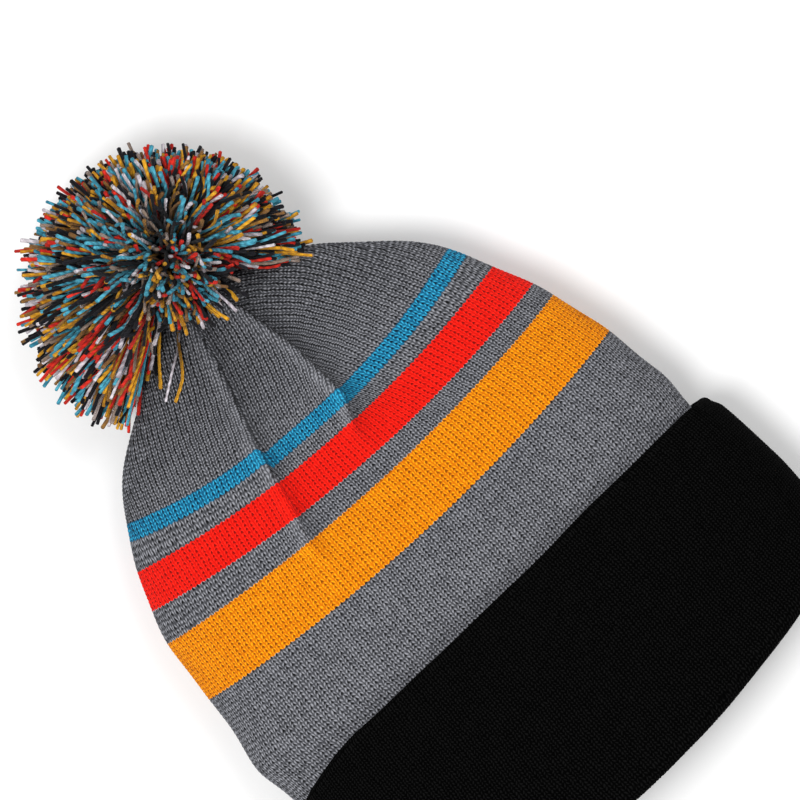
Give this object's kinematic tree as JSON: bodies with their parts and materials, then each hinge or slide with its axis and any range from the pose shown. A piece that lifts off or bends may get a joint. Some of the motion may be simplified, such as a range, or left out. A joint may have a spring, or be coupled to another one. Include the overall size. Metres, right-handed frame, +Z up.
{
  "type": "pom pom beanie",
  "caption": "Cuffed double-knit winter hat with coloured stripes round the crown and a pom of cut yarn tied to its top, lying flat and lightly rounded out.",
  "frame": {"origin": "on the ground the hat lies on, under the middle of its bounding box", "axes": "+Y from the mouth to the pom, +X across the hat to its right-hand side fold, +Z up out of its front"},
  "size_m": [0.2116, 0.2864, 0.09],
  "materials": {
    "grey_knit": "matte fine rib-free jersey knit",
    "blue_knit": "matte fine jersey knit",
    "red_knit": "matte fine jersey knit",
    "yellow_knit": "matte fine jersey knit",
    "black_knit": "matte fine jersey knit",
    "lining_knit": "matte fine jersey knit, inner face",
    "seam_thread": "matte overlock thread",
    "tie_thread": "matte twisted thread",
    "yarn_black": "soft cut acrylic yarn",
    "yarn_blue": "soft cut acrylic yarn",
    "yarn_yellow": "soft cut acrylic yarn",
    "yarn_red": "soft cut acrylic yarn",
    "yarn_white": "soft cut acrylic yarn"
  },
  "bodies": {
    "hat": {"crown_top": "grey_knit", "stripe_blue": "blue_knit", "band_grey_upper": "grey_knit", "stripe_red": "red_knit", "band_grey_middle": "grey_knit", "stripe_yellow": "yellow_knit", "band_grey_lower": "grey_knit", "brim_under_cuff": "black_knit", "lining": "lining_knit", "dart_seam_front_left": "seam_thread", "dart_seam_front_right": "seam_thread", "dart_seam_back_left": "seam_thread", "dart_seam_back_right": "seam_thread", "crown_gathering_thread": "seam_thread"},
    "cuff": {"cuff_outer_layer": "black_knit", "cuff_inner_layer": "black_knit", "cuff_top_fold": "black_knit", "cuff_mouth_fold": "black_knit"},
    "pom_knot": {"tie_knot": "tie_thread"},
    "pom_loop": {"tie_loop": "tie_thread"},
    "pom": {"pom_tie_threads": "tie_thread", "pom_binding": "tie_thread", "pom_yarn_black": "yarn_black", "pom_yarn_blue": "yarn_blue", "pom_yarn_yellow": "yarn_yellow", "pom_yarn_red": "yarn_red", "pom_yarn_white": "yarn_white"}
  },
  "joints": [
    {"name": "cuff_turn_down", "type": "slide", "parent": "hat", "child": "cuff", "axis": [0, -1, 0], "range_m": [0, 0.06]},
    {"name": "pom_twist", "type": "hinge", "parent": "hat", "child": "pom_knot", "pos_m": [0, 0.0878, 0.029], "axis": [0, 1, 0], "range_deg": [-20, 20]},
    {"name": "pom_nod", "type": "hinge", "parent": "pom_knot", "child": "pom_loop", "pos_m": [0, 0.0878, 0.029], "axis": [1, 0, 0], "range_deg": [-12, 24]},
    {"name": "pom_sway", "type": "hinge", "parent": "pom_loop", "child": "pom", "pos_m": [0, 0.0878, 0.029], "axis": [0, 0, 1], "range_deg": [-12, 12]}
  ]
}
